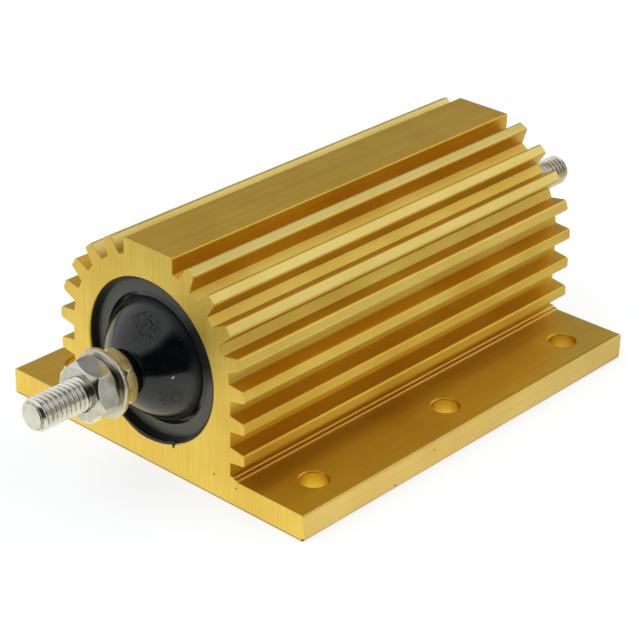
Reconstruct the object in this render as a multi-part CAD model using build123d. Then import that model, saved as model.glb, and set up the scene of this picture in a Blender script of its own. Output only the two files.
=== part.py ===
"""Wire-wound power resistor in a finned aluminium housing, with a threaded stud at each end.

Millimetres. X runs along the bore and the studs, -X is the front end, Z is up, and the
origin is the middle of the underside. Both ends are built alike, apart from how their
nuts happen to be turned.
"""
import os
from math import sqrt

from build123d import *

# Housing: one extruded aluminium profile, cut to length
HOUSING_LENGTH = 89.7
BORE_RADIUS = 15.2
BORE_CHAMFER = 0.25
BARREL_WALL = 4.1
FLOOR_UNDER_BORE = 5.1
FLANGE_REACH = 16.95
FLANGE_THICKNESS = 5.0
FLANGE_EDGE_RADIUS = 0.4
TOP_RIB_WIDTH = 11.8
TOP_RIB_RISE = 2.2
TOP_EDGE_RADIUS = 0.3

# Fins: on each side five point away from the bore, and two below them lie level
FIN_HEIGHT = 3.3
FIN_ROOT_THICKNESS = 3.1
FIN_TIP_THICKNESS = 2.1
FIN_TIP_RADIUS = 0.45
RADIAL_FIN_COUNT = 5
LOWEST_RADIAL_FIN_ANGLE = 3.8
RADIAL_FIN_STEP = 15.0
LEVEL_FIN_COUNT = 2
LEVEL_FIN_DROP = 4.6
LEVEL_FIN_PITCH = 6.05

# Toe: small steps that run along the foot of the barrel on each flange
TOE_STEP_COUNT = 2
TOE_STEP_WIDTH = 0.85
TOE_STEP_HEIGHT = 0.3

# Fixing holes: a row through each flange
HOLES_PER_FLANGE = 3
HOLE_RADIUS = 2.55
HOLE_CHAMFER = 0.2
HOLE_END_MARGIN = 9.85
HOLE_EDGE_MARGIN = 6.75

# Resistance element: a ribbon wound on a ceramic tube, with a steel cap on each end
CORE_RADIUS = 9.0
CORE_BORE_RADIUS = 3.5
CAP_DEPTH = 5.0
CAP_WALL = 0.9
CAP_FLOOR = 1.2
RIBBON_WIDTH = 1.4
RIBBON_THICKNESS = 0.6
RIBBON_PITCH = 2.8
RIBBON_END_GAP = 0.05

# Domed bush: fills the bore at each end and carries the stud
BUSH_BODY_LENGTH = 5.65
BUSH_DOME_DEPTH = 1.4
BUSH_DOME_REACH = 5.8
BUSH_DOME_BULGE = 0.82
BUSH_DOME_SHOULDER = 0.35
BUSH_RIM_RADIUS = 0.4
BUSH_COLLAR_WALL = 1.325
BUSH_COLLAR_LENGTH = 1.3

# Seal ring: closes the bore round the bush, with a stepped lip outside and a groove inside
RING_LIP_DEPTH = 0.35
RING_LIP_WIDTH = 0.65
RING_LIP_RISE = 1.2
RING_LIP_STEPS = 3
RING_FACE_WIDTH = 2.35
RING_GROOVE_WIDTH = 0.75
RING_GROOVE_DEPTH = 1.65
RING_WEB = 1.8

# Terminal: a threaded stud with a disc head, a thin nut, a flat washer and a full nut. The shank
# has the thread's pitch radius, at which the nuts hold it, and the free end its full radius
THREAD_RADIUS = 3.0
SHANK_RADIUS = 2.675
FREE_THREAD_GAP = 0.3
STUD_TIP_CHAMFER = 0.7
STUD_HEAD_RADIUS = 6.5
STUD_HEAD_THICKNESS = 2.5
STUD_PAST_NUT = 10.27
NUT_ACROSS_FLATS = 10.0
NUT_FACE_INSET = 0.25
NUT_COUNTERSINK = 0.5
INNER_NUT_THICKNESS = 3.2
OUTER_NUT_THICKNESS = 4.8
WASHER_RADIUS = 6.25
WASHER_HOLE_PLAY = 0.2
WASHER_THICKNESS = 1.1
WASHER_EDGE_CHAMFER = 0.15

# How far each nut has been turned, in degrees from +Y towards +Z
INNER_NUT_TURN = {"front": 24.5, "rear": 50.0}
OUTER_NUT_TURN = {"front": 14.5, "rear": 35.0}

# Clearances
MOULDING_FIT = 0.05
THREAD_FIT = 0.03
STACK_FIT = 0.01

# Places across the profile
BARREL_RADIUS = BORE_RADIUS + BARREL_WALL
AXIS_HEIGHT = FLOOR_UNDER_BORE + BORE_RADIUS
TOP_HEIGHT = AXIS_HEIGHT + BARREL_RADIUS + TOP_RIB_RISE
FLANGE_HALF_WIDTH = BARREL_RADIUS + FLANGE_REACH
FIN_START = BARREL_RADIUS - BARREL_WALL / 2
FIN_END = BARREL_RADIUS + FIN_HEIGHT
MOULDING_RADIUS = BORE_RADIUS - MOULDING_FIT
RING_FACE_RADIUS = MOULDING_RADIUS - RING_LIP_WIDTH
RING_GROOVE_RADIUS = RING_FACE_RADIUS - RING_FACE_WIDTH
BUSH_NECK_RADIUS = RING_GROOVE_RADIUS - RING_GROOVE_WIDTH
COLLAR_RADIUS = SHANK_RADIUS + BUSH_COLLAR_WALL
CAP_INNER_RADIUS = CORE_RADIUS + MOULDING_FIT
CAP_RADIUS = CAP_INNER_RADIUS + CAP_WALL
RIBBON_INNER_RADIUS = CORE_RADIUS + MOULDING_FIT
RIBBON_OUTER_RADIUS = RIBBON_INNER_RADIUS + RIBBON_THICKNESS

# Places along the bore, measured from the middle of the housing towards one end
FACE = HOUSING_LENGTH / 2
RING_FACE = FACE - RING_LIP_DEPTH - RING_LIP_RISE
RING_GROOVE = RING_FACE - RING_GROOVE_DEPTH
RING_SEAT = RING_GROOVE - RING_WEB
CAP_END = RING_SEAT - BUSH_BODY_LENGTH
CORE_END = CAP_END - CAP_FLOOR
CAP_START = CORE_END - CAP_DEPTH
RIBBON_END = CAP_START - RIBBON_END_GAP - RIBBON_WIDTH / 2
HEAD_END = CAP_END + STUD_HEAD_THICKNESS
COLLAR_START = FACE + BUSH_DOME_REACH
COLLAR_END = COLLAR_START + BUSH_COLLAR_LENGTH
INNER_NUT_START = COLLAR_END + STACK_FIT
WASHER_START = INNER_NUT_START + INNER_NUT_THICKNESS + STACK_FIT
OUTER_NUT_START = WASHER_START + WASHER_THICKNESS + STACK_FIT
OUTER_NUT_END = OUTER_NUT_START + OUTER_NUT_THICKNESS
FREE_THREAD_START = OUTER_NUT_END + FREE_THREAD_GAP
STUD_END = OUTER_NUT_END + STUD_PAST_NUT

BORE_AXIS = Axis((0, 0, AXIS_HEIGHT), (1, 0, 0))


def turned(outline):
    """A solid turned about the bore's axis, from an outline drawn as (place along, radius)."""
    return revolve(Plane.XZ * Pos(0, AXIS_HEIGHT) * outline, BORE_AXIS)


def outline_of(*points):
    """A closed straight-sided outline through the points."""
    return Polygon(*points, align=None)


def at_end(shape, end):
    """A shape built for the rear end, put at the named end."""
    return mirror(shape, Plane.YZ) if end == "front" else shape


def fin():
    """One tapered fin with rounded tip corners, pointing along the profile's first axis."""
    taper = (FIN_ROOT_THICKNESS - FIN_TIP_THICKNESS) / 2 / FIN_HEIGHT
    outer = FIN_TIP_THICKNESS / 2
    inner = outer + taper * (FIN_END - FIN_START)
    blank = outline_of((FIN_START, -inner), (FIN_END, -outer), (FIN_END, outer), (FIN_START, inner))
    return fillet(blank.vertices().group_by(Axis.X)[-1], FIN_TIP_RADIUS)


def fins_of_one_side():
    """The radial and the level fins on the +Y side of the profile."""
    blank = fin()
    radial = [
        Pos(0, AXIS_HEIGHT) * Rot(0, 0, LOWEST_RADIAL_FIN_ANGLE + number * RADIAL_FIN_STEP) * blank
        for number in range(RADIAL_FIN_COUNT)
    ]
    level = [
        Pos(0, AXIS_HEIGHT - LEVEL_FIN_DROP - number * LEVEL_FIN_PITCH) * blank
        for number in range(LEVEL_FIN_COUNT)
    ]
    return radial + level


def toe_steps():
    """The small steps at the foot of the barrel, as wide bars centred on the profile."""
    steps = []
    for number in range(TOE_STEP_COUNT):
        half_width = BARREL_RADIUS + (TOE_STEP_COUNT - number) * TOE_STEP_WIDTH
        top = FLANGE_THICKNESS + (number + 1) * TOE_STEP_HEIGHT
        steps.append(Pos(0, top / 2) * Rectangle(2 * half_width, top))
    return steps


def housing_profile():
    """The extrusion's section in its own plane, without the bore."""
    rib_height = TOP_HEIGHT - AXIS_HEIGHT
    profile = Pos(0, AXIS_HEIGHT) * Circle(BARREL_RADIUS)
    profile += Pos(0, AXIS_HEIGHT / 2) * Rectangle(2 * BARREL_RADIUS, AXIS_HEIGHT)
    profile += Pos(0, FLANGE_THICKNESS / 2) * RectangleRounded(
        2 * FLANGE_HALF_WIDTH, FLANGE_THICKNESS, FLANGE_EDGE_RADIUS
    )
    profile += Pos(0, TOP_HEIGHT - rib_height / 2) * RectangleRounded(
        TOP_RIB_WIDTH, rib_height, TOP_EDGE_RADIUS
    )
    for step in toe_steps():
        profile += step
    for shape in fins_of_one_side():
        profile += shape
        profile += mirror(shape, Plane.YZ)
    return profile


def bore_cutter():
    """The bore with its two chamfered mouths."""
    mouth = BORE_RADIUS + BORE_CHAMFER
    return turned(outline_of(
        (-FACE, 0), (-FACE, mouth), (BORE_CHAMFER - FACE, BORE_RADIUS),
        (FACE - BORE_CHAMFER, BORE_RADIUS), (FACE, mouth), (FACE, 0),
    ))


def hole_cutter():
    """One fixing hole with its two chamfered mouths, standing on the origin."""
    mouth = HOLE_RADIUS + HOLE_CHAMFER
    outline = outline_of(
        (0, 0), (mouth, 0), (HOLE_RADIUS, HOLE_CHAMFER),
        (HOLE_RADIUS, FLANGE_THICKNESS - HOLE_CHAMFER), (mouth, FLANGE_THICKNESS), (0, FLANGE_THICKNESS),
    )
    return revolve(Plane.XZ * outline, Axis.Z)


def hole_places():
    """The middles of the fixing holes on the underside."""
    first = FACE - HOLE_END_MARGIN
    pitch = 2 * first / (HOLES_PER_FLANGE - 1)
    row = FLANGE_HALF_WIDTH - HOLE_EDGE_MARGIN
    return [
        (number * pitch - first, side * row)
        for number in range(HOLES_PER_FLANGE)
        for side in (-1, 1)
    ]


def make_housing():
    """The finned housing, with its bore and fixing holes."""
    solid = extrude(Plane.YZ * housing_profile(), FACE, both=True)
    solid -= bore_cutter()
    cutter = hole_cutter()
    for x, y in hole_places():
        solid -= Pos(x, y, 0) * cutter
    return solid


def make_core():
    """The ceramic tube that carries the winding."""
    return turned(outline_of(
        (-CORE_END, CORE_BORE_RADIUS), (-CORE_END, CORE_RADIUS),
        (CORE_END, CORE_RADIUS), (CORE_END, CORE_BORE_RADIUS),
    ))


def make_winding():
    """The resistance ribbon, one layer wound round the core between the caps."""
    middle = (RIBBON_INNER_RADIUS + RIBBON_OUTER_RADIUS) / 2
    path = Helix(RIBBON_PITCH, 2 * RIBBON_END, middle, center=(-RIBBON_END, 0, AXIS_HEIGHT), direction=(1, 0, 0))
    across = Plane(origin=path @ 0, x_dir=(1, 0, 0), z_dir=path % 0)
    return sweep(across * Rectangle(RIBBON_WIDTH, RIBBON_THICKNESS), path=path, is_frenet=True)


def make_sleeve():
    """The moulded sleeve that fills the bore round the winding and the caps."""
    over_ribbon = RIBBON_OUTER_RADIUS + MOULDING_FIT
    over_cap = CAP_RADIUS + MOULDING_FIT
    return turned(outline_of(
        (-CAP_END, MOULDING_RADIUS), (-CAP_END, over_cap), (-CAP_START, over_cap), (-CAP_START, over_ribbon),
        (CAP_START, over_ribbon), (CAP_START, over_cap), (CAP_END, over_cap), (CAP_END, MOULDING_RADIUS),
    ))


def make_cap():
    """The steel cap pressed over one end of the core."""
    return turned(outline_of(
        (CAP_START, CAP_INNER_RADIUS), (CORE_END, CAP_INNER_RADIUS), (CORE_END, 0),
        (CAP_END, 0), (CAP_END, CAP_RADIUS), (CAP_START, CAP_RADIUS),
    ))


def make_bush():
    """The domed insulating bush: body, neck, dome with a rounded rim, and the collar for the nut."""
    head_pocket = STUD_HEAD_RADIUS + MOULDING_FIT
    passage = SHANK_RADIUS + MOULDING_FIT
    dome_start = (FACE - BUSH_DOME_DEPTH, BUSH_NECK_RADIUS)
    dome_end = (COLLAR_START, COLLAR_RADIUS + BUSH_DOME_SHOULDER)
    before = Polyline(
        (HEAD_END, passage), (HEAD_END, head_pocket), (CAP_END, head_pocket), (CAP_END, MOULDING_RADIUS),
        (RING_SEAT, MOULDING_RADIUS), (RING_SEAT, BUSH_NECK_RADIUS), dome_start,
    )
    dome = SagittaArc(dome_start, dome_end, BUSH_DOME_BULGE)
    after = Polyline(
        dome_end, (COLLAR_START, COLLAR_RADIUS), (COLLAR_END, COLLAR_RADIUS),
        (COLLAR_END, passage), (HEAD_END, passage),
    )
    section = make_face([before, dome, after])
    rim = section.vertices().sort_by_distance(dome_start)[0]
    return turned(fillet(rim, BUSH_RIM_RADIUS))


def lip_points():
    """The corners of the ring's stepped lip, from the outer edge in to the flat face."""
    rise = RING_LIP_RISE / RING_LIP_STEPS
    width = RING_LIP_WIDTH / RING_LIP_STEPS
    points = []
    for number in range(RING_LIP_STEPS):
        along = FACE - RING_LIP_DEPTH - number * rise
        radius = MOULDING_RADIUS - (number + 1) * width
        points += [(along, radius), (along - rise, radius)]
    return points


def make_ring():
    """The seal ring between the bush's neck and the bore."""
    seat_radius = BUSH_NECK_RADIUS + MOULDING_FIT
    start = RING_SEAT + STACK_FIT
    return turned(outline_of(
        (start, seat_radius), (start, MOULDING_RADIUS), (FACE - RING_LIP_DEPTH, MOULDING_RADIUS),
        *lip_points(), (RING_FACE, RING_GROOVE_RADIUS),
        (RING_GROOVE, RING_GROOVE_RADIUS), (RING_GROOVE, seat_radius),
    ))


def make_stud():
    """The terminal stud with its disc head and chamfered tip."""
    tip_radius = THREAD_RADIUS - STUD_TIP_CHAMFER
    return turned(outline_of(
        (CAP_END, 0), (CAP_END, STUD_HEAD_RADIUS), (HEAD_END, STUD_HEAD_RADIUS), (HEAD_END, SHANK_RADIUS),
        (FREE_THREAD_START, SHANK_RADIUS), (FREE_THREAD_START, THREAD_RADIUS),
        (STUD_END - STUD_TIP_CHAMFER, THREAD_RADIUS), (STUD_END, tip_radius), (STUD_END, 0),
    ))


def make_nut(start, thickness, turn):
    """A hexagon nut with chamfered faces and a countersunk hole, whose inner face is at start."""
    corner_radius = NUT_ACROSS_FLATS / sqrt(3)
    face_radius = NUT_ACROSS_FLATS / 2 - NUT_FACE_INSET
    chamfer_depth = corner_radius - face_radius
    hole = SHANK_RADIUS + THREAD_FIT
    mouth = hole + NUT_COUNTERSINK
    end = start + thickness
    hexagon = Rot(0, 0, turn) * RegularPolygon(NUT_ACROSS_FLATS / 2, 6, major_radius=False)
    blank = extrude(Plane.YZ.offset(start) * Pos(0, AXIS_HEIGHT) * hexagon, thickness)
    return blank & turned(outline_of(
        (start + NUT_COUNTERSINK, hole), (start, mouth), (start, face_radius),
        (start + chamfer_depth, corner_radius), (end - chamfer_depth, corner_radius), (end, face_radius),
        (end, mouth), (end - NUT_COUNTERSINK, hole),
    ))


def make_washer():
    """The flat washer between the two nuts."""
    hole = THREAD_RADIUS + WASHER_HOLE_PLAY
    width = WASHER_RADIUS - hole
    section = Rectangle(WASHER_THICKNESS, width)
    section = chamfer(section.vertices(), WASHER_EDGE_CHAMFER)
    return turned(Pos(WASHER_START + WASHER_THICKNESS / 2, hole + width / 2) * section)


def make_parts():
    """Every node's name and its solid."""
    parts = {
        "housing": make_housing(),
        "ceramic_core": make_core(),
        "resistance_winding": make_winding(),
        "insulating_sleeve": make_sleeve(),
    }
    for end in ("front", "rear"):
        inner_nut = make_nut(INNER_NUT_START, INNER_NUT_THICKNESS, INNER_NUT_TURN[end])
        outer_nut = make_nut(OUTER_NUT_START, OUTER_NUT_THICKNESS, OUTER_NUT_TURN[end])
        parts["core_end_cap_" + end] = at_end(make_cap(), end)
        parts["terminal_stud_" + end] = at_end(make_stud(), end)
        parts["end_bush_" + end] = at_end(make_bush(), end)
        parts["seal_ring_" + end] = at_end(make_ring(), end)
        parts["inner_nut_" + end] = at_end(inner_nut, end)
        parts["flat_washer_" + end] = at_end(make_washer(), end)
        parts["outer_nut_" + end] = at_end(outer_nut, end)
    return parts


if __name__ == "__main__":
    os.makedirs("parts", exist_ok=True)
    for name, shape in make_parts().items():
        export_step(shape, "parts/" + name + ".step")
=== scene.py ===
"""The looks of a finned, gold-anodised wire-wound resistor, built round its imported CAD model.

Blender 4.5, metres. X runs along the bore with the front end at -X, Z is up, and the origin is the
middle of the underside, as in the CAD model. Turned pieces are drawn in millimetres, out from the
housing's end face and round the bore's axis, and then put at their end.
"""

import logging
import math
from dataclasses import dataclass
from enum import Enum
from typing import Callable

import bmesh
import bpy
from mathutils import Matrix, Vector


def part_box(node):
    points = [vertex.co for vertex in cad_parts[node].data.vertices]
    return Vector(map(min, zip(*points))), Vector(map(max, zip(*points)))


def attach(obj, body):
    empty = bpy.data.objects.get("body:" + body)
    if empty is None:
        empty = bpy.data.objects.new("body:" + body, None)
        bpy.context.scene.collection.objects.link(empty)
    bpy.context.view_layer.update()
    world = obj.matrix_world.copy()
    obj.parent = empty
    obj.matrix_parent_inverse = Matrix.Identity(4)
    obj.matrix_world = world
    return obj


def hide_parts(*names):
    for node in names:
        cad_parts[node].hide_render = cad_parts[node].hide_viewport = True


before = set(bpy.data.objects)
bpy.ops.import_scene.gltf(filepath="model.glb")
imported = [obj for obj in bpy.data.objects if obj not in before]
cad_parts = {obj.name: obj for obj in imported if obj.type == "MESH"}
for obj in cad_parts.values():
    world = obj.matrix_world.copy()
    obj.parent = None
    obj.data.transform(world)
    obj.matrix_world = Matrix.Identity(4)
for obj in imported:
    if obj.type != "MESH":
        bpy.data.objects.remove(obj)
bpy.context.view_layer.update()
HOUSING_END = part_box("housing")[1].x
BORE_HEIGHT = sum(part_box("end_bush_front"), Vector()).z / 2
LOG = logging.getLogger("resistor")

MM = 0.001
WELD_MM = 1e-4
STUD_HEAD_MM = 2.5
SHARP_OVER = math.radians(28)
GRAIN_SPREAD = (0.3, 0.7)

BodyMesh = bmesh.types.BMesh
Material = bpy.types.Material
Tree = bpy.types.NodeTree
Socket = bpy.types.NodeSocket
Colour = tuple[float, float, float, float]
Pair = tuple[float, float]
Triple = tuple[float, float, float]
Spots = tuple[tuple[float, float, float, float], ...]
Station = Pair | Callable[[float], Pair]


@dataclass(frozen=True)
class Span:
    """How far a CAD node reaches, in mm: out from the housing's end face, and from the bore's axis."""

    start: float
    finish: float
    radius: float


class End(Enum):
    """The two ends of the bore, each with the way that its terminal points along X."""

    FRONT = -1
    REAR = 1

    def named(self, piece: str) -> str:
        """The name of a CAD node or a piece at this end."""
        return f"{piece}_{self.name.lower()}"

    def span_of(self, piece: str) -> Span:
        """The reach of a piece's CAD node at this end."""
        node = self.named(piece)
        low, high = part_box(node)
        near, far = sorted((abs(low.x) - HOUSING_END, abs(high.x) - HOUSING_END))
        return Span(near / MM, far / MM, (high.y - low.y) / 2 / MM)


def linear(hex_code: str) -> Colour:
    """Turns an sRGB hex code into a linear colour.

    Args:
        hex_code: the colour as "#RRGGBB".

    Returns:
        Red, green, blue and an alpha of 1.
    """
    shares = [int(hex_code[place:place + 2], 16) / 255 for place in (1, 3, 5)]
    channels = [
        share / 12.92 if share <= 0.04045 else ((share + 0.055) / 1.055) ** 2.4 for share in shares
    ]
    return (*channels, 1.0)


def grey(level: float) -> Colour:
    """The grey of one linear level."""
    return (level, level, level, 1.0)


def add_node(tree: Tree, kind: str, inputs: dict[str | int, object] | None = None,
             **settings: object) -> bpy.types.Node:
    """Adds one shader node with its settings, values and links.

    Args:
        tree: the node tree.
        kind: the node's type, without its ShaderNode prefix.
        inputs: for each input, its value or the output that feeds it.
        **settings: the node's own properties.

    Returns:
        The new node.
    """
    node = tree.nodes.new(f"ShaderNode{kind}")
    for name, value in settings.items():
        setattr(node, name, value)
    for socket, value in (inputs or {}).items():
        if isinstance(value, Socket):
            tree.links.new(value, node.inputs[socket])
        else:
            node.inputs[socket].default_value = value
    return node


def blank_material(name: str) -> tuple[Material, Tree]:
    """Makes an empty node material.

    Args:
        name: what the finish is called.

    Returns:
        The material and its node tree.
    """
    material = bpy.data.materials.new(name)
    material.use_nodes = True
    material.node_tree.nodes.clear()
    return material, material.node_tree


def placed(tree: Tree) -> Socket:
    """Where a point lies on the part, in metres."""
    return add_node(tree, "TexCoord").outputs["Object"]


def stretched_noise(tree: Tree, size_mm: Triple, detail: float = 4.0, roughness: float = 0.55) -> Socket:
    """Noise whose grains have a real size along each axis.

    Args:
        tree: the node tree.
        size_mm: a grain's length along X, Y and Z.
        detail: how many finer layers the noise has.
        roughness: how strong the finer layers are.

    Returns:
        The noise's strength, from 0 to 1.
    """
    scale = tuple(1 / (length * MM) for length in size_mm)
    stretched = add_node(tree, "Mapping", {"Vector": placed(tree), "Scale": scale})
    return add_node(tree, "TexNoise", {
        "Vector": stretched.outputs["Vector"], "Scale": 1.0, "Detail": detail, "Roughness": roughness,
    }).outputs["Fac"]


def ranged(tree: Tree, value: Socket, low: float, high: float, to_low: float = 0.0,
           to_high: float = 1.0) -> Socket:
    """Spreads a range of a value over another range, and stops at its ends.

    Args:
        tree: the node tree.
        value: the output to spread.
        low: the value that becomes to_low.
        high: the value that becomes to_high.
        to_low: what low becomes.
        to_high: what high becomes.

    Returns:
        The new value.
    """
    return add_node(tree, "MapRange", {
        "Value": value, "From Min": low, "From Max": high, "To Min": to_low, "To Max": to_high,
    }).outputs["Result"]


def reckoned(tree: Tree, operation: str, *values: Socket | float) -> Socket:
    """Reckons with some values.

    Args:
        tree: the node tree.
        operation: what to do with them, as the math node calls it.
        *values: the values, or the outputs that give them.

    Returns:
        The result.
    """
    return add_node(tree, "Math", dict(enumerate(values)), operation=operation).outputs["Value"]


def mixed(tree: Tree, share: Socket, first: Colour | Socket, second: Colour | Socket) -> Socket:
    """Mixes two colours.

    Args:
        tree: the node tree.
        share: how much of the second colour shows.
        first: the colour, or the output, at a share of 0.
        second: the colour, or the output, at a share of 1.

    Returns:
        The mixed colour.
    """
    return add_node(tree, "Mix", {0: share, 6: first, 7: second}, data_type="RGBA").outputs[2]


def from_axis(tree: Tree) -> Socket:
    """Distance from the bore's axis, in mm.

    Args:
        tree: the node tree.

    Returns:
        The distance.
    """
    flat = add_node(tree, "Mapping", {
        "Vector": placed(tree), "Location": (0.0, 0.0, -BORE_HEIGHT / MM), "Scale": (0.0, 1 / MM, 1 / MM),
    }).outputs["Vector"]
    return add_node(tree, "VectorMath", {0: flat}, operation="LENGTH").outputs["Value"]


def spots(tree: Tree, places_mm: Spots) -> Socket:
    """Round spots at chosen places.

    Args:
        tree: the node tree.
        places_mm: for each spot, its X, Y, Z and radius.

    Returns:
        1 in the middle of each spot, falling to 0 at its edge.
    """
    where = placed(tree)
    total: Socket | None = None
    for x, y, z, radius in places_mm:
        middle = (x * MM, y * MM, z * MM)
        away = add_node(tree, "VectorMath", {0: where, 1: middle}, operation="DISTANCE").outputs["Value"]
        spot = ranged(tree, away, 0.0, radius * MM, 1.0, 0.0)
        total = spot if total is None else reckoned(tree, "MAXIMUM", total, spot)
    return total


def seen_by_camera(tree: Tree) -> Socket:
    """Tells the camera's own view from all other light.

    Args:
        tree: the node tree.

    Returns:
        1 for what the camera sees, also through something clear, and 0 for the rest.
    """
    ray = add_node(tree, "LightPath").outputs
    return reckoned(tree, "MAXIMUM", ray["Is Camera Ray"], ray["Is Transmission Ray"])


def surface(tree: Tree, height: Socket, relief_mm: float, inputs: dict[str, object]) -> None:
    """Ends a material with its relief, its shader and its output.

    Args:
        tree: the node tree.
        height: the relief, from 0 to 1.
        relief_mm: how high a relief of 1 stands.
        inputs: the shader's other inputs.
    """
    bump = add_node(tree, "Bump", {"Height": height, "Distance": relief_mm * MM})
    shader = add_node(tree, "BsdfPrincipled", {**inputs, "Normal": bump.outputs["Normal"]})
    add_node(tree, "OutputMaterial", {"Surface": shader.outputs["BSDF"]})


@dataclass(frozen=True)
class Anodised:
    """Gold-dyed anodised aluminium: etched metal under a clear, dyed oxide film.

    The eye gets a satin metal whose shade goes from pale gold where it faces the light to brown in
    the gaps between the fins, with a thin whitish sheen from the film. Marks are dark little dents, and
    a painted contact shadow darkens a thin band along the bottom.
    """

    name: str
    gold: str
    deep: str
    grain_mm: Triple = (60.0, 0.35, 0.35)
    cloud_mm: Triple = (14.0, 14.0, 14.0)
    speck_mm: Triple = (0.30, 0.30, 0.30)
    speck_height: float = 0.35
    tone_spread: Pair = (0.12, 0.38)
    roughness: Pair = (0.42, 0.54)
    relief_mm: float = 0.006
    film: float = 0.1
    marks_mm: Spots = ()
    # the mark colour is also the colour of the painted contact shadow
    mark_and_shadow_colour: str = "#3E2C10"
    mark_edge: Pair = (0.25, 0.7)
    mark_depth: float = 4.0
    # height and strength of the painted contact shadow along the bottom
    shadow_band_mm: float = 0.0
    shadow_band_share: float = 0.75

    def material(self) -> Material:
        """Makes the finish as a material."""
        material, tree = blank_material(self.name)
        grain = stretched_noise(tree, self.grain_mm, roughness=0.62)
        cloud = stretched_noise(tree, self.cloud_mm, detail=2.0)
        speck = stretched_noise(tree, self.speck_mm, detail=2.0)
        dyed = ranged(tree, reckoned(tree, "MULTIPLY", grain, cloud), *self.tone_spread, 1.0, 0.0)
        colour = mixed(tree, dyed, linear(self.gold), linear(self.deep))
        height = reckoned(tree, "ADD", grain, ranged(tree, speck, *GRAIN_SPREAD, 0.0, self.speck_height))
        if self.marks_mm:
            mark = spots(tree, self.marks_mm)
            colour = mixed(tree, ranged(tree, mark, *self.mark_edge), colour, linear(self.mark_and_shadow_colour))
            height = reckoned(tree, "MULTIPLY_ADD", mark, -self.mark_depth, height)
        # painted contact shadow: below a height the colour turns to the mark colour, fading out towards the
        # top of the band
        if self.shadow_band_mm > 0:
            level = add_node(tree, "SeparateXYZ", {0: placed(tree)}).outputs["Z"]
            top = self.shadow_band_mm * MM
            painted_band = ranged(tree, level, top / 2, top, self.shadow_band_share, 0.0)
            colour = mixed(tree, painted_band, colour, linear(self.mark_and_shadow_colour))
        surface(tree, height, self.relief_mm, {
            "Base Color": colour, "Metallic": 1.0,
            "Roughness": ranged(tree, grain, *GRAIN_SPREAD, *self.roughness),
            "Coat Weight": self.film, "Coat Roughness": 0.32, "Coat IOR": 1.6,
        })
        return material


@dataclass(frozen=True)
class Moulding:
    """A black moulding compound, from glossy on the dome to satin on the ring.

    The eye gets a deep black that mirrors the room softly, with duller, speckled patches where its skin
    has been handled, a scratch, pale chips, a painted shadow as a darker, duller patch and a satin zone.
    """

    name: str
    black: str
    bloom: str
    roughness: Pair
    cloud_mm: Triple = (3.0, 3.0, 3.0)
    grain_mm: Triple = (0.45, 0.45, 0.45)
    dull_spread: Pair = (0.16, 0.42)
    bloom_spread: Pair = (0.22, 0.5)
    relief_mm: float = 0.002
    gloss: float = 0.5
    patch_edge: float = 0.5
    scuffs_mm: Spots = ()
    scuff_edge: float = 0.6
    scuff_grain: Pair = (0.53, 0.63)
    scuff_depth: float = 60.0
    scuff_bloom: float = 0.5
    scuff_roughness: float = 0.45
    scratch_mm: Spots = ()
    scratch_depth: float = 40.0
    chips_mm: Spots = ()
    chip_colour: str = "#C9C8BE"
    chip_edge: Pair = (0.2, 0.5)
    # painted shadow: a darker, duller patch where the lip shades the recessed face
    shade_patch_mm: Spots = ()
    shade_patch_colour: str = "#060606"
    shade_patch_roughness: float = 0.5
    satin_radius_mm: Pair = (0.0, 0.0)
    satin_roughness: float = 0.34

    def material(self) -> Material:
        """Makes the finish as a material."""
        material, tree = blank_material(self.name)
        height = cloud = stretched_noise(tree, self.cloud_mm, roughness=0.6)
        speck = stretched_noise(tree, self.grain_mm, detail=3.0, roughness=0.7)
        dull = reckoned(tree, "MULTIPLY", cloud, speck)
        rough = ranged(tree, dull, *self.dull_spread, *self.roughness)
        colour = mixed(tree, ranged(tree, dull, *self.bloom_spread), linear(self.black), linear(self.bloom))
        if self.scuffs_mm:
            patch = ranged(tree, spots(tree, self.scuffs_mm), 0.0, self.scuff_edge)
            worn = reckoned(tree, "MULTIPLY", patch, ranged(tree, speck, *self.scuff_grain))
            height = reckoned(tree, "MULTIPLY_ADD", worn, -self.scuff_depth, height)
            share = reckoned(tree, "MULTIPLY", worn, self.scuff_bloom)
            colour = mixed(tree, share, colour, linear(self.bloom))
            rough = reckoned(tree, "MULTIPLY_ADD", worn, self.scuff_roughness, rough)
        if self.scratch_mm:
            scratch = ranged(tree, spots(tree, self.scratch_mm), 0.0, self.patch_edge)
            height = reckoned(tree, "MULTIPLY_ADD", scratch, -self.scratch_depth, height)
        if self.chips_mm:
            chip = ranged(tree, spots(tree, self.chips_mm), *self.chip_edge)
            colour = mixed(tree, chip, colour, linear(self.chip_colour))
        # painted shadow: the patch turns darker and rougher
        if self.shade_patch_mm:
            shade_patch = ranged(tree, spots(tree, self.shade_patch_mm), 0.0, self.patch_edge)
            colour = mixed(tree, shade_patch, colour, linear(self.shade_patch_colour))
            rough = reckoned(tree, "MULTIPLY_ADD", shade_patch, self.shade_patch_roughness, rough)
        if self.satin_radius_mm[1] > 0:
            satin = ranged(tree, from_axis(tree), *self.satin_radius_mm, 0.0, self.satin_roughness)
            rough = reckoned(tree, "ADD", rough, satin)
        surface(tree, height, self.relief_mm, {
            "Base Color": colour, "Roughness": rough, "IOR": 1.52, "Specular IOR Level": self.gloss,
        })
        return material


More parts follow.
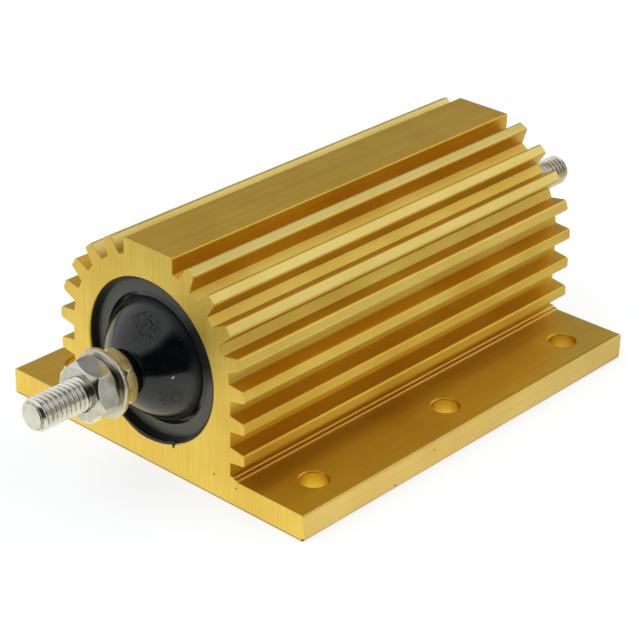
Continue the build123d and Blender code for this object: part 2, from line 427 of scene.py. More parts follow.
@dataclass(frozen=True)
class Plated:
    """Bright nickel plate over steel.

    The eye gets a warm silver that mirrors its surroundings, blurred by fine tool marks, with grime
    where the radius from the bore's axis is less than the grime's own.
    """

    name: str
    nickel: str
    tarnish: str
    roughness: Pair
    tarnish_mm: Triple = (2.2, 2.2, 2.2)
    tarnish_spread: Pair = (0.42, 0.7)
    grime: str = "#665F53"
    grime_radius_mm: Pair = (0.0, 0.0)
    grime_spread: Pair = (0.35, 0.62)
    grime_least: float = 0.15
    marks_mm: Triple = (0.12, 0.9, 0.9)
    relief_mm: float = 0.0015

    def material(self) -> Material:
        """Makes the finish as a material."""
        material, tree = blank_material(self.name)
        marks = stretched_noise(tree, self.marks_mm, roughness=0.65)
        cloud = stretched_noise(tree, self.tarnish_mm, detail=3.0)
        dulled = ranged(tree, cloud, *self.tarnish_spread)
        colour = mixed(tree, dulled, linear(self.nickel), linear(self.tarnish))
        if self.grime_radius_mm[1] > 0:
            deep = ranged(tree, from_axis(tree), *self.grime_radius_mm, 1.0, 0.0)
            caught = ranged(tree, marks, *self.grime_spread, self.grime_least, 1.0)
            colour = mixed(tree, reckoned(tree, "MULTIPLY", deep, caught), colour, linear(self.grime))
        surface(tree, marks, self.relief_mm, {
            "Base Color": colour, "Metallic": 1.0,
            "Roughness": ranged(tree, marks, *GRAIN_SPREAD, *self.roughness),
        })
        return material


@dataclass(frozen=True)
class Hidden:
    """A finish of the sealed inside: fired ceramic, resistance ribbon, filler or pressed steel.

    The eye would get a plain surface with a fine grain.
    """

    name: str
    colour: str
    shade: str
    metallic: float
    roughness: Pair
    grain_mm: Triple = (0.5, 0.5, 0.5)
    shade_spread: Pair = (0.35, 0.65)
    relief_mm: float = 0.01

    def material(self) -> Material:
        """Makes the finish as a material."""
        material, tree = blank_material(self.name)
        grain = stretched_noise(tree, self.grain_mm, roughness=0.6)
        shaded = ranged(tree, grain, *self.shade_spread)
        colour = mixed(tree, shaded, linear(self.colour), linear(self.shade))
        surface(tree, grain, self.relief_mm, {
            "Base Color": colour, "Metallic": self.metallic,
            "Roughness": ranged(tree, grain, *GRAIN_SPREAD, *self.roughness),
        })
        return material


def turned(outline: list[Pair], steps: int, closed: bool = True) -> BodyMesh:
    """Turns an outline about the X axis.

    Args:
        outline: its points as (along, radius), in order.
        steps: how many facets the full turn has.
        closed: whether the outline's last point joins its first.

    Returns:
        The turned mesh.
    """
    bm = bmesh.new()
    points = [bm.verts.new((along, 0.0, radius)) for along, radius in outline]
    edges = [bm.edges.new(pair) for pair in zip(points, points[1:] + (points[:1] if closed else []))]
    bmesh.ops.spin(bm, geom=points + edges, cent=(0, 0, 0), axis=(1, 0, 0), angle=math.tau, steps=steps,
                   use_merge=True)
    bmesh.ops.remove_doubles(bm, verts=bm.verts, dist=WELD_MM)
    return bm


def arc(start: Pair, finish: Pair, rise: float, count: int) -> list[Pair]:
    """Points along an arc.

    Args:
        start: the arc's first point.
        finish: the arc's last point.
        rise: how far its middle stands to the left of the straight line from start to finish.
        count: how many stretches it has.

    Returns:
        Its points, with both ends.
    """
    first, last = Vector(start), Vector(finish)
    half = (last - first) / 2
    radius = (half.length_squared + rise * rise) / (2 * rise)
    left = Vector((-half.y, half.x)).normalized()
    middle = first + half + left * (rise - radius)
    sweep = 2 * math.asin(half.length / abs(radius))
    arm = first - middle
    turns = (-math.copysign(sweep, rise) * number / count for number in range(count + 1))
    return [tuple(middle + Matrix.Rotation(turn, 2) @ arm) for turn in turns]


def rounded(before: Pair, corner: Pair, after: Pair, radius: float, count: int) -> list[Pair]:
    """Points that round a corner between two straight lines.

    Args:
        before: a point on the first line.
        corner: where the lines meet.
        after: a point on the second line.
        radius: the rounding's radius.
        count: how many stretches it has.

    Returns:
        Its points, from the first line to the second.
    """
    middle = Vector(corner)
    first, last = (Vector(before) - middle).normalized(), (Vector(after) - middle).normalized()
    half = first.angle(last) / 2
    setback = radius / math.tan(half)
    rise = math.copysign(radius * (1 - math.sin(half)), first.cross(last))
    return arc(tuple(middle + first * setback), tuple(middle + last * setback), rise, count)


def corners_of(geometry: list[object]) -> list[bmesh.types.BMVert]:
    """Picks the corners out of a bmesh operator's result."""
    return [item for item in geometry if isinstance(item, bmesh.types.BMVert)]


def ringed(stations: list[Station], steps: int, phase: float) -> BodyMesh:
    """A closed band of rings round the X axis, whose radius and place may change round the turn.

    Args:
        stations: for each ring its (along, radius), or what gives them at an angle.
        steps: how many facets the full turn has.
        phase: the angle of the first corner, in radians from +Y towards +Z.

    Returns:
        The band, with its last ring joined to its first.
    """
    bm = bmesh.new()
    ring = bmesh.ops.create_circle(bm, segments=steps, radius=1.0)["verts"]
    edges = first_edges = list(bm.edges)
    for number, vert in enumerate(ring):
        angle = phase + math.tau * number / steps
        vert.co = (0.0, math.cos(angle), math.sin(angle))
    for number, station in enumerate(stations):
        if number:
            grown = bmesh.ops.extrude_edge_only(bm, edges=edges)["geom"]
            ring = corners_of(grown)
            fresh = set(ring)
            grown_edges = (item for item in grown if isinstance(item, bmesh.types.BMEdge))
            edges = [edge for edge in grown_edges if set(edge.verts) <= fresh]
        for vert in ring:
            angle = math.atan2(vert.co.z, vert.co.y)
            along, radius = station(angle) if callable(station) else station
            vert.co = (along, radius * math.cos(angle), radius * math.sin(angle))
    bmesh.ops.bridge_loops(bm, edges=first_edges + edges)
    return bm


def soften(bm: BodyMesh, width: float, over_degrees: float = 30.0) -> None:
    """Rounds every edge that is sharper than an angle, with two facets.

    Args:
        bm: the mesh, with its doubles merged.
        width: the rounding's width, in the mesh's own unit.
        over_degrees: the smallest angle between two faces that gets rounded.
    """
    bmesh.ops.recalc_face_normals(bm, faces=bm.faces)
    limit = math.radians(over_degrees)
    edges = [edge for edge in bm.edges if edge.is_manifold and edge.calc_face_angle(0.0) > limit]
    bmesh.ops.bevel(bm, geom=edges, offset=width, offset_type="OFFSET", affect="EDGES", segments=2,
                    profile=0.5, material=-1, clamp_overlap=True)


def radius_of(face: bmesh.types.BMFace) -> float:
    """How far a face's middle is from the X axis."""
    middle = face.calc_center_median()
    return math.hypot(middle.y, middle.z)


def cut_across(bm: BodyMesh, along: float, **cleared: bool) -> None:
    """Cuts a mesh across the X axis.

    Args:
        bm: the mesh.
        along: where the cut lies along X.
        **cleared: clear_inner or clear_outer, to drop what lies before or past the cut.
    """
    geometry = [*bm.verts, *bm.edges, *bm.faces]
    bmesh.ops.bisect_plane(bm, geom=geometry, plane_co=(along, 0, 0), plane_no=(1, 0, 0), **cleared)


def add_object(name: str, data: bpy.types.ID) -> bpy.types.Object:
    """Puts an object with its data into the scene.

    Args:
        name: the object's name.
        data: its mesh, camera or light.

    Returns:
        The new object.
    """
    added = bpy.data.objects.new(name, data)
    bpy.context.scene.collection.objects.link(added)
    return added


def make_piece(bm: BodyMesh, name: str, materials: list[Material], slot: str, *replaced: str) -> None:
    """Turns a finished mesh into a piece that rides on the part.

    Args:
        bm: the mesh, in place and in metres. It is used up.
        name: the piece's name.
        materials: its materials, in the order of its faces' material numbers.
        slot: the record's material slot; not used.
        *replaced: the CAD nodes that it stands for.
    """
    bmesh.ops.remove_doubles(bm, verts=bm.verts, dist=WELD_MM * MM)
    bmesh.ops.recalc_face_normals(bm, faces=bm.faces)
    for face in bm.faces:
        face.smooth = True
    for edge in bm.edges:
        edge.smooth = edge.is_manifold and edge.calc_face_angle(0.0) < SHARP_OVER
    mesh = bpy.data.meshes.new(name)
    bm.to_mesh(mesh)
    bm.free()
    for material in materials:
        mesh.materials.append(material)
    piece = add_object(name, mesh)
    piece.modifiers.new("even_shading", "WEIGHTED_NORMAL").keep_sharp = True
    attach(piece, "root")
    if replaced:
        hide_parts(*replaced)
    LOG.info("%s: %d faces", name, len(mesh.polygons))


def make_end_piece(bm: BodyMesh, end: End, piece: str, finishes: list[Plated | Moulding], slot: str,
                   *stood_for: str) -> None:
    """Makes a piece at one end from a shape that was drawn in mm, out from the housing's face.

    Args:
        bm: the mesh. It is used up.
        end: the end that it belongs to.
        piece: the piece's name without its end.
        finishes: its finishes, in the order of its faces' material numbers.
        slot: the record's material slot.
        *stood_for: the CAD nodes that it stands for, without their end.
    """
    place = Matrix.Translation((end.value * HOUSING_END, 0.0, BORE_HEIGHT))
    bmesh.ops.transform(bm, matrix=place @ Matrix.Diagonal((end.value * MM, MM, MM, 1.0)), verts=bm.verts)
    materials = [finish.material() for finish in finishes]
    make_piece(bm, end.named(piece), materials, slot, *map(end.named, stood_for))


class Surface(Enum):
    """The kinds of face on the housing, each with its finish, in the order of their material numbers."""

    DRAWN = Anodised("anodised_drawn_face", "#E6BF40", "#D9AA2C", film=0.28)
    # the sawn end's bottom 0.35 mm carries a painted contact shadow
    SAWN = Anodised(
        "anodised_sawn_end", "#F1D36B", "#E0BA50", grain_mm=(3.0, 0.45, 12.0),
        relief_mm=0.010, shadow_band_mm=0.35,
        marks_mm=((-44.85, -15.48, 4.34, 0.35), (-44.85, -20.73, 3.67, 0.30), (-44.85, -36.2, 0.15, 0.8)),
    )
    DRILLED = Anodised(
        "anodised_drilled_hole", "#EBC848", "#DDB838", grain_mm=(1.5, 1.5, 0.25),
        roughness=(0.30, 0.40), film=0.28,
    )
    # painted sheen: the upper fin tips and the far top flanks are a paler, greyer gold that stands in for
    # the light they reflect
    RUBBED = Anodised("anodised_rubbed_fin_tip", "#E0CC80", "#D4BC66", roughness=(0.36, 0.46))
    # the flange side's bottom 0.45 mm carries a painted contact shadow
    WORN = Anodised(
        "anodised_worn_flange_side", "#DFC273", "#D2B264", roughness=(0.40, 0.50),
        shadow_band_mm=0.45, marks_mm=((-11.1, -36.25, 3.3, 0.35), (-21.5, -36.25, 0.6, 0.35)),
    )
    VALLEY = Anodised("anodised_fin_valley", "#E2C660", "#D0AC3E", film=0.2)
    # painted contact shadow: the down-facing faces along the bottom edges are dark brown
    SOILED = Anodised("anodised_soiled_bottom_edge", "#6E5826", "#54421A", roughness=(0.45, 0.56))
    # painted highlight: the toe's step edges are a bright pale gold that stands in for their glints
    TOE = Anodised("anodised_rubbed_toe_edge", "#FFE48E", "#F8D678", roughness=(0.30, 0.40))
    # painted highlight: the middle fin tips are a brighter, yellower gold that stands in for the light they
    # reflect
    HANDLED = Anodised("anodised_handled_fin_tip", "#EFD070", "#E2C25A", roughness=(0.36, 0.46))


@dataclass
class Housing:
    """The finned extrusion, with its drawn faces, its sawn ends and its drilled holes.

    Reaches, radii and heights are in mm, and slopes are shares of a face's normal.
    """

    weld: float = 0.001
    flat_within: float = math.radians(0.5)
    edge_break: float = 0.12
    shadow_slope: Pair = (-0.95, -0.2)
    end_skin: float = 0.3
    flange_side: float = 35.95
    hole_rows: float = 29.5
    hole_pitch: float = 35.0
    hole_reach: float = 2.9
    wall_slope: float = 0.4
    bore_reach: float = 15.6
    toe_width: Pair = (19.5, 21.2)
    toe_height: Pair = (5.05, 5.7)
    toe_slope: float = 0.3
    far_flank: float = 36.0
    flank_slope: float = -0.2
    rib_half: float = 6.5
    fins_above: float = 6.5
    outward_slope: float = 0.9
    tip_radius: float = 22.35
    sheen_above: float = 30.0
    highlight_above: float = 24.5
    valley_radius: Pair = (19.0, 19.6)

    def surface_of(self, face: bmesh.types.BMFace) -> Surface:
        """Tells which kind of surface a face belongs to, from its place and its normal."""
        x, y, z = face.calc_center_median() / MM
        across, upward = face.normal.y, face.normal.z
        side, height = abs(y), z - BORE_HEIGHT / MM
        from_bore = math.hypot(y, height)
        from_hole = math.hypot(x - round(x / self.hole_pitch) * self.hole_pitch, side - self.hole_rows)
        # low, down-facing faces get the painted contact shadow
        if z < self.edge_break and self.shadow_slope[0] < upward < self.shadow_slope[1]:
            return Surface.SOILED
        if abs(x) > HOUSING_END / MM - self.end_skin:
            return Surface.SAWN
        if side > self.flange_side:
            return Surface.WORN
        if from_bore < self.bore_reach or (from_hole < self.hole_reach and abs(upward) < self.wall_slope):
            return Surface.DRILLED
        low, high = self.toe_height
        near, far = self.toe_width
        # the toe's step edges get the painted highlight
        if low < z < high and near < side < far and min(abs(across), upward) > self.toe_slope:
            return Surface.TOE
        # the far top flanks get the painted sheen
        if z > self.far_flank and y > self.rib_half and across < self.flank_slope:
            return Surface.RUBBED
        outward = (across * y + upward * height) / from_bore
        if outward < self.outward_slope or z < self.fins_above or side < self.rib_half:
            return Surface.DRAWN
        # fin tips above this height get the painted sheen
        if from_bore > self.tip_radius and z > self.sheen_above:
            return Surface.RUBBED
        # fin tips between the two heights get the painted highlight
        if from_bore > self.tip_radius and z > self.highlight_above:
            return Surface.HANDLED
        if from_bore > self.tip_radius or self.valley_radius[0] < from_bore < self.valley_radius[1]:
            return Surface.VALLEY
        return Surface.DRAWN

    def build(self) -> None:
        """Builds the skin: the CAD housing's surface, its flat faces made whole and its edges broken."""
        bm = bmesh.new()
        bm.from_mesh(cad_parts["housing"].data)
        bmesh.ops.remove_doubles(bm, verts=bm.verts, dist=self.weld * MM)
        bmesh.ops.dissolve_limit(bm, angle_limit=self.flat_within, verts=bm.verts, edges=bm.edges)
        soften(bm, self.edge_break * MM)
        surfaces = list(Surface)
        for face in bm.faces:
            face.material_index = surfaces.index(self.surface_of(face))
        finishes = [kind.value.material() for kind in surfaces]
        make_piece(bm, "housing_skin", finishes, "anodised_housing", "housing")


@dataclass
class Terminal:
    """The stud with its rolled thread, the two nuts and the washer at one end, in mm and degrees."""

    end: End
    inner_turn: float
    outer_turn: float
    pitch: float = 1.0
    thread_radius: float = 3.0
    thread_depth: float = 0.6134
    flank_angle: float = 30.0
    thread_steps: int = 60
    lead_turns: int = 2
    tip_chamfer: float = 0.7
    tip_bands: int = 7
    tip_skin: float = 0.05
    head_steps: int = 64
    across_flats: float = 10.0
    face_inset: float = 0.25
    nut_hole: float = 2.705
    countersink: float = 0.55
    nut_rounding: float = 0.07
    nut_rounded_over: float = 25.0
    nut_steps: int = 96
    washer_hole: float = 3.2
    washer_edge: float = 0.3
    washer_edge_steps: int = 5
    washer_bulge: float = 0.29
    washer_break: float = 0.1
    washer_lip: float = 0.1
    washer_rounding: float = 0.05
    washer_steps: int = 128
    stud: Plated = Plated(
        "nickel_rolled_thread", "#E2E0D8", "#CECABF", (0.14, 0.26), grime_radius_mm=(2.35, 2.70),
    )
    tip: Plated = Plated("nickel_sheared_tip", "#EBE9DF", "#D9D5C8", (0.30, 0.42))
    outer_nut: Plated = Plated("nickel_turned_nut", "#D0CEC6", "#B8B4AA", (0.12, 0.22))
    inner_nut: Plated = Plated(
        "nickel_tarnished_nut", "#DCDED6", "#B6B6A8", (0.20, 0.32), marks_mm=(0.3, 2.0, 2.0),
    )
    washer: Plated = Plated("nickel_stamped_washer", "#CFCDC4", "#B6B2A6", (0.18, 0.30), relief_mm=0.003)

    def thread(self, bm: BodyMesh, start: float, finish: float) -> None:
        """Rolls the thread between two places, with a chamfered tip and closed ends.

        It starts some turns early, and its crests are an eighth of the pitch wide, as is standard.

        Args:
            bm: the mesh to add it to.
            start: where the shank begins.
            finish: where the tip ends.
        """
        root = self.thread_radius - self.thread_depth
        flank = self.thread_depth * math.tan(math.radians(self.flank_angle))
        crest = self.pitch / 8
        tooth = ((0.0, self.thread_radius), (crest, self.thread_radius), (crest + flank, root),
                 (self.pitch - flank, root))
        first = start - self.lead_turns * self.pitch
        turns = math.ceil((finish - start) / self.pitch) + self.lead_turns + 1
        points = [
            bm.verts.new((first + number * self.pitch + along, 0.0, radius))
            for number in range(turns) for along, radius in tooth
        ]
        edges = [bm.edges.new(pair) for pair in zip(points, points[1:])]
        bmesh.ops.spin(bm, geom=points + edges, cent=(0, 0, 0), axis=(1, 0, 0),
                       dvec=(self.pitch / self.thread_steps, 0, 0), angle=self.end.value * math.tau,
                       steps=self.thread_steps)
        bmesh.ops.remove_doubles(bm, verts=bm.verts, dist=WELD_MM)
        cut_across(bm, start, clear_inner=True)
        cut_across(bm, finish, clear_outer=True)
        for number in range(1, self.tip_bands + 1):
            cut_across(bm, finish - self.tip_chamfer * number / self.tip_bands)
        for vert in bm.verts:
            radius = math.hypot(vert.co.y, vert.co.z)
            limit = self.thread_radius - self.tip_chamfer + (finish - vert.co.x)
            if radius > limit:
                vert.co.y *= limit / radius
                vert.co.z *= limit / radius
        bmesh.ops.holes_fill(bm, edges=[edge for edge in bm.edges if edge.is_boundary], sides=0)

    def build_stud(self) -> None:
        """Builds the stud with its thread and disc head."""
        span = self.end.span_of("terminal_stud")
        head_end = span.start + STUD_HEAD_MM
        head = [(span.start, 0.0), (span.start, span.radius), (head_end, span.radius), (head_end, 0.0)]
        bm = turned(head, self.head_steps, closed=False)
        self.thread(bm, head_end, span.finish)
        for face in bm.faces:
            face.material_index = int(face.calc_center_median().x > span.finish - self.tip_skin)
        make_end_piece(bm, self.end, "threaded_stud", [self.stud, self.tip], "plated_stud", "terminal_stud")

    def build_nut(self, piece: str, turn: float, finish: Plated) -> None:
        """Builds one nut, with chamfered faces and a countersunk hole.

        Args:
            piece: the CAD node's name without its end.
            turn: how far it has been turned, in degrees.
            finish: its plating.
        """
        span = self.end.span_of(piece)
        near, far = span.start, span.finish
        face_radius = self.across_flats / 2 - self.face_inset
        mouth = self.nut_hole + self.countersink
        corner, sixth = math.radians(turn), math.radians(60)

        def side(angle: float) -> float:
            """The hexagon's radius at an angle in radians."""
            return self.across_flats / 2 / math.cos((angle - corner) % sixth - sixth / 2)

        bm = ringed([
            (near + self.countersink, self.nut_hole), (near, mouth), (near, face_radius),
            lambda angle: (near + side(angle) - face_radius, side(angle)),
            lambda angle: (far - side(angle) + face_radius, side(angle)),
            (far, face_radius), (far, mouth), (far - self.countersink, self.nut_hole),
        ], self.nut_steps, corner)
        soften(bm, self.nut_rounding, over_degrees=self.nut_rounded_over)
        make_end_piece(bm, self.end, f"{piece}_finished", [finish], "plated_nuts", piece)

    def build_washer(self) -> None:
        """Builds the stamped washer, with a rolled edge on one side and a crisp one on the other."""
        span = self.end.span_of("flat_washer")
        edge, lip = self.washer_edge, self.washer_lip
        bm = turned([
            (span.start, self.washer_hole), (span.start, span.radius - self.washer_break),
            (span.start + self.washer_break, span.radius),
            *arc((span.finish - edge, span.radius), (span.finish, span.radius - edge),
                 edge * self.washer_bulge, self.washer_edge_steps),
            (span.finish, self.washer_hole + lip), (span.finish - lip, self.washer_hole),
        ], self.washer_steps)
        soften(bm, self.washer_rounding)
        make_end_piece(bm, self.end, "stamped_washer", [self.washer], "plated_washer", "flat_washer")

    def build(self) -> None:
        """Builds the stud, the nuts and the washer."""
        self.build_stud()
        self.build_nut("inner_nut", self.inner_turn, self.inner_nut)
        self.build_washer()
        self.build_nut("outer_nut", self.outer_turn, self.outer_nut)


@dataclass
class BoreEnd:
    """The domed bush and the seal ring that close the bore at one end, in mm and degrees."""

    end: End
    body_length: float = 5.65
    neck_radius: float = 11.4
    dome_depth: float = 1.4
    dome_reach: float = 5.8
    dome_bulge: float = 0.82
    dome_shoulder: float = 0.35
    dome_steps: int = 48
    rim_radius: float = 1.5
    rim_steps: int = 8
    rim_lead: float = 0.1
    rim_covers: int = 3
    collar_radius: float = 4.0
    collar_skin: float = 0.2
    passage_radius: float = 2.725
    head_pocket_radius: float = 6.55
    bush_rounding: float = 0.12
    bush_rounded_over: float = 40.0
    lip_width: float = 0.65
    lip_rise: float = 1.2
    lip_steps: int = 3
    lip_skin: float = 0.01
    face_width: float = 2.35
    groove_width: float = 0.75
    groove_depth: float = 1.65
    fill_middle: float = 137.0
    fill_reach: float = 92.0
    fill_ramp: float = 26.0
    fill_rise: float = 0.08
    fit: float = 0.05
    ring_rounding: float = 0.06
    flash_sunk: float = 0.02
    flash_thickness: float = 0.08
    flash_mm: tuple[tuple[Pair, ...], ...] = (
        ((7.6, 7.0), (6.0, 6.1), (4.5, 5.4), (2.9, 4.85), (1.2, 4.7), (-0.8, 4.8), (-3.4, 5.25),
         (-5.1, 5.95), (-5.0, 6.5), (-3.4, 5.8), (-0.8, 5.4), (1.2, 5.4), (2.9, 5.7), (4.5, 6.1),
         (6.0, 6.7), (7.5, 7.4)),
        ((-5.35, 6.1), (-5.4, 5.5), (-5.6, 5.3), (-5.8, 5.5), (-5.9, 6.4), (-5.8, 6.8), (-5.5, 6.7),
         (-5.2, 6.6)),
    )
    steps: int = 192
    bush: Moulding = Moulding(
        "black_thermoset_dome", "#06090D", "#161E28", (0.10, 0.22),
        scuffs_mm=((-47.6, -1.7, 28.6, 3.6), (-47.8, -7.9, 17.6, 2.8)),
        scratch_mm=tuple(
            (-47.13 + 0.13 * step, 1.54 - 0.2 * step, 29.09 + 0.12 * step, 0.22) for step in range(11)
        ),
        chips_mm=((-47.57, -8.44, 21.37, 0.30), (-47.47, -8.62, 21.55, 0.26)),
        satin_radius_mm=(10.2, 11.1),
    )
    edge: Moulding = Moulding("black_thermoset_dull_edge", "#050505", "#0A0A0A", (0.65, 0.75), gloss=0.1)
    lip: Moulding = Moulding(
        "black_seal_compound_lip", "#121211", "#1E1E1B", (0.40, 0.55), relief_mm=0.004, gloss=0.3,
    )
    ring: Moulding = Moulding(
        "black_seal_compound", "#4A4943", "#5E5C53", (0.30, 0.46), relief_mm=0.004,
        # painted shadow of the lip over the upper right of the ring face
        shade_patch_mm=((-44.5, -11.5, 26.4, 7.0),),
    )

    def build_bush(self) -> None:
        """Builds the bush with its dome and collar."""
        span = self.end.span_of("end_bush")
        neck_start = span.start + self.body_length
        head_end = span.start + STUD_HEAD_MM
        dome = arc((-self.dome_depth, self.neck_radius),
                   (self.dome_reach, self.collar_radius + self.dome_shoulder), self.dome_bulge,
                   self.dome_steps)
        rim = rounded((neck_start, self.neck_radius), dome[0], dome[1], self.rim_radius, self.rim_steps)
        bm = turned([
            (head_end, self.passage_radius), (head_end, self.head_pocket_radius),
            (span.start, self.head_pocket_radius), (span.start, span.radius),
            (neck_start, span.radius), (neck_start, self.neck_radius),
            (rim[0][0] - self.rim_lead, self.neck_radius), *rim, *dome[self.rim_covers:],
            (self.dome_reach, self.collar_radius), (span.finish, self.collar_radius),
            (span.finish, self.passage_radius),
        ], self.steps)
        soften(bm, self.bush_rounding, over_degrees=self.bush_rounded_over)
        for face in bm.faces:
            face.material_index = int(radius_of(face) < self.collar_radius + self.collar_skin)
        make_end_piece(bm, self.end, "domed_bush", [self.bush, self.edge], "glossy_bush", "end_bush")

    def build_ring(self) -> None:
        """Builds the seal ring with its stepped lip and groove."""
        span = self.end.span_of("seal_ring")
        rise, width = self.lip_rise / self.lip_steps, self.lip_width / self.lip_steps
        lip = []
        for number in range(self.lip_steps):
            along = span.finish - number * rise
            radius = span.radius - (number + 1) * width
            lip += [(along, radius), (along - rise, radius)]
        face = span.finish - self.lip_rise
        groove_radius = span.radius - self.lip_width - self.face_width
        seat_radius = groove_radius - self.groove_width + self.fit
        middle, reach, ramp = map(math.radians, (self.fill_middle, self.fill_reach, self.fill_ramp))

        def floor(angle: float) -> float:
            """The groove's floor at an angle, which rises where compound was squeezed into it."""
            from_fill = abs((angle - middle + math.pi) % math.tau - math.pi)
            share = min(max((reach - from_fill) / ramp, 0.0), 1.0)
            return face - self.groove_depth * (1 - share) + self.fill_rise * share

        bm = ringed([
            (span.start, seat_radius), (span.start, span.radius), (span.finish, span.radius), *lip,
            (face, groove_radius), lambda angle: (floor(angle), groove_radius),
            lambda angle: (floor(angle), seat_radius),
        ], self.steps, 0.0)
        soften(bm, self.ring_rounding)
        for item in bm.faces:
            item.material_index = int(radius_of(item) > span.radius - self.lip_width - self.lip_skin)
        make_end_piece(bm, self.end, "stepped_seal", [self.ring, self.lip], "seal_moulding", "seal_ring")

    def build_flash(self) -> None:
        """Builds the thin flash of compound that stuck to the sawn face under the bore, and its drip."""
        bm = bmesh.new()
        for outline in self.flash_mm:
            corners = [bm.verts.new((-self.flash_sunk, y, z - BORE_HEIGHT / MM)) for y, z in outline]
            grown = bmesh.ops.extrude_face_region(bm, geom=[bm.faces.new(corners)], use_keep_orig=True)
            lift = (self.flash_thickness + self.flash_sunk, 0.0, 0.0)
            bmesh.ops.translate(bm, verts=corners_of(grown["geom"]), vec=lift)
        make_end_piece(bm, self.end, "seal_flash", [self.lip], "seal_moulding")

    def build(self) -> None:
        """Builds the bush and the ring, and the flash at the front."""
        self.build_bush()
        self.build_ring()
        if self.end is End.FRONT:
            self.build_flash()


@dataclass
class Element:
    """The sealed inside: the CAD pieces themselves, with their own finishes."""

    finishes: tuple[tuple[Hidden, tuple[str, ...]], ...] = (
        (Hidden("fired_ceramic", "#E4DDCF", "#D6CDBB", 0.0, (0.7, 0.85)), ("ceramic_core",)),
        (Hidden("resistance_alloy", "#8A7F74", "#6E645B", 1.0, (0.3, 0.45), (2.0, 0.2, 0.2)),
         ("resistance_winding",)),
        (Hidden("filler_compound", "#2A2A29", "#1F1F1E", 0.0, (0.6, 0.75)), ("insulating_sleeve",)),
        (Hidden("pressed_steel_cap", "#C2BEB4", "#A8A49A", 1.0, (0.25, 0.4)),
         ("core_end_cap_front", "core_end_cap_rear")),
    )

    def build(self) -> None:
        """Dresses the hidden CAD nodes."""
        for finish, nodes in self.finishes:
            material = finish.material()
            for node in nodes:
                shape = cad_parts[node]
                shape.data.materials.clear()
                shape.data.materials.append(material)
                LOG.info("%s: %s", node, finish.name)


def direction(azimuth: float, elevation: float) -> Vector:
    """The unit vector that points at a place in the room.

    Args:
        azimuth: its angle round Z from +X, in degrees.
        elevation: its angle above the level, in degrees.
    """
    turn, rise = math.radians(azimuth), math.radians(elevation)
    return Vector((math.cos(turn) * math.cos(rise), math.sin(turn) * math.cos(rise), math.sin(rise)))


@dataclass(frozen=True)
class Side:
    """A side of the room: its colour, full within one angle of its middle and gone past another.

    A backdrop is white to glossy rays, so that what mirrors it shows the white of the picture.
    """

    azimuth: float
    elevation: float
    core: float
    reach: float
    colour: Triple
    is_backdrop: bool = False


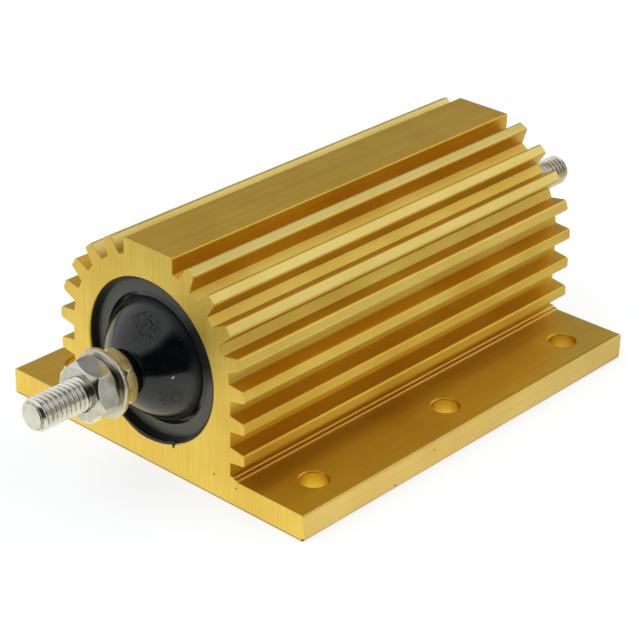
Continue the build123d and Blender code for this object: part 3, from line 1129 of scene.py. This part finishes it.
@dataclass
class Studio:
    """The camera, the pale floor, the key light and the room round them."""

    azimuth: float = -48.20
    elevation: float = 27.51
    roll: float = 1.26
    distance: float = 0.40683
    slide: Pair = (-0.00069, 0.01025)
    focal_px: float = 2151.6
    picture_px: float = 640.0
    sensor_mm: float = 36.0
    table_low: Pair = (-0.113, -0.110)
    table_high: Pair = (0.420, 0.420)
    table_drop: float = 0.02 * MM
    table_grey: float = 0.42
    table_glow: float = 0.86
    table_shown: float = 0.86
    table_lit: Triple = (1.0, 0.99, 0.80)
    near_fade: Pair = (0.058, 0.65)
    far_fade: Triple = (-0.010, 0.060, 0.66)
    wall_grey: float = 0.32
    sides: tuple[Side, ...] = (
        Side(azimuth=-40.0, elevation=5.0, core=25.0, reach=60.0, colour=(0.60, 0.60, 0.57)),
        Side(azimuth=130.0, elevation=40.0, core=47.0, reach=58.0, colour=(0.98, 1.10, 1.14),
             is_backdrop=True),
        Side(azimuth=-125.0, elevation=15.0, core=30.0, reach=45.0, colour=(0.02, 0.02, 0.02)),
        Side(azimuth=-160.0, elevation=-8.0, core=28.0, reach=42.0, colour=(0.02, 0.02, 0.02)),
    )
    key_azimuth: float = -26.0
    key_elevation: float = 40.0
    key_distance: float = 1.2
    key_size: float = 1.3
    key_brightness: float = 0.66

    def build_camera(self) -> None:
        """Puts the camera where the photograph was taken from."""
        back, level = direction(self.azimuth - 90, self.elevation), direction(self.azimuth, 0.0)
        upright, lean = back.cross(level), math.radians(self.roll)
        right = level * math.cos(lean) + upright * math.sin(lean)
        up = upright * math.cos(lean) - level * math.sin(lean)
        camera = bpy.data.cameras.new("camera")
        camera.sensor_width = self.sensor_mm
        camera.lens = self.focal_px / self.picture_px * self.sensor_mm
        eye = add_object("camera", camera)
        place = Matrix((right, up, back)).transposed().to_4x4()
        place.translation = back * self.distance + right * self.slide[0] + up * self.slide[1]
        eye.matrix_world = place
        bpy.context.scene.camera = eye

    def build_floor(self) -> None:
        """Lays the white table, which is lit from below and keeps a light shadow of the part.

        To all rays but the camera's its light fades off towards both ends of the part.
        """
        low, high = Vector(self.table_low), Vector(self.table_high)
        middle, half = (low + high) / 2, (high - low) / 2
        place = Matrix.Translation((*middle, -self.table_drop)) @ Matrix.Diagonal((*half, 1.0, 1.0))
        bm = bmesh.new()
        bmesh.ops.create_grid(bm, x_segments=1, y_segments=1, size=1.0, matrix=place)
        mesh = bpy.data.meshes.new("floor")
        bm.to_mesh(mesh)
        bm.free()
        floor = add_object("floor", mesh)
        material, tree = blank_material("white_floor")
        paper = add_node(tree, "BsdfDiffuse", {"Color": grey(self.table_grey)}).outputs["BSDF"]
        along = add_node(tree, "SeparateXYZ", {0: placed(tree)}).outputs["X"]
        fade, least = self.near_fade
        near = ranged(tree, along, low.x, low.x + fade, least, 1.0)
        start, finish, left = self.far_fade
        share = reckoned(tree, "MULTIPLY", near, ranged(tree, along, start, finish, 1.0, left))
        lit = mixed(tree, share, grey(0.0), (*self.table_lit, 1.0))
        tint = mixed(tree, seen_by_camera(tree), lit, grey(self.table_shown))
        glow = add_node(tree, "Emission", {"Color": tint, "Strength": self.table_glow}).outputs["Emission"]
        both = add_node(tree, "AddShader", {0: paper, 1: glow}).outputs["Shader"]
        add_node(tree, "OutputMaterial", {"Surface": both})
        floor.data.materials.append(material)

    def build_room(self) -> None:
        """Fills the room: white to the camera, and round the part grey walls and the sides."""
        world = bpy.data.worlds.new("room")
        world.use_nodes = True
        tree = world.node_tree
        tree.nodes.clear()
        way = add_node(tree, "TexCoord").outputs["Generated"]
        glossy = add_node(tree, "LightPath").outputs["Is Glossy Ray"]
        white = grey(1.0)
        walls: Colour | Socket = grey(self.wall_grey)
        for side in self.sides:
            middle = direction(side.azimuth, side.elevation)
            towards = add_node(tree, "VectorMath", {0: way, 1: middle}, operation="DOT_PRODUCT")
            edge, core = (math.cos(math.radians(angle)) for angle in (side.reach, side.core))
            share = ranged(tree, towards.outputs["Value"], edge, core)
            shown: Colour | Socket = (*side.colour, 1.0)
            if side.is_backdrop:
                shown = mixed(tree, glossy, shown, white)
            walls = mixed(tree, share, walls, shown)
        colour = mixed(tree, seen_by_camera(tree), walls, white)
        light = add_node(tree, "Background", {"Color": colour}).outputs["Background"]
        add_node(tree, "OutputWorld", {"Surface": light})
        bpy.context.scene.world = world

    def build_key(self) -> None:
        """Hangs the square key light, whose power follows from the brightness of its face."""
        away = direction(self.key_azimuth, self.key_elevation)
        light = bpy.data.lights.new("key_softbox", "AREA")
        light.shape = "SQUARE"
        light.size = self.key_size
        light.energy = self.key_brightness * math.pi * self.key_size ** 2
        lamp = add_object("key_softbox", light)
        lamp.location = away * self.key_distance + Vector((0.0, 0.0, BORE_HEIGHT))
        lamp.rotation_euler = away.to_track_quat("Z", "Y").to_euler()

    def build(self) -> None:
        """Builds the studio."""
        bpy.context.scene.view_settings.view_transform = "Standard"
        self.build_camera()
        self.build_floor()
        self.build_room()
        self.build_key()


def main() -> None:
    """Builds the studio and every piece of the part."""
    logging.basicConfig(level=logging.INFO, format="%(message)s")
    Studio().build()
    Housing().build()
    for end, inner_turn, outer_turn in ((End.FRONT, 24.5, 14.5), (End.REAR, 50.0, 35.0)):
        BoreEnd(end).build()
        Terminal(end, inner_turn, outer_turn).build()
    Element().build()


if __name__ == "__main__":
    main()
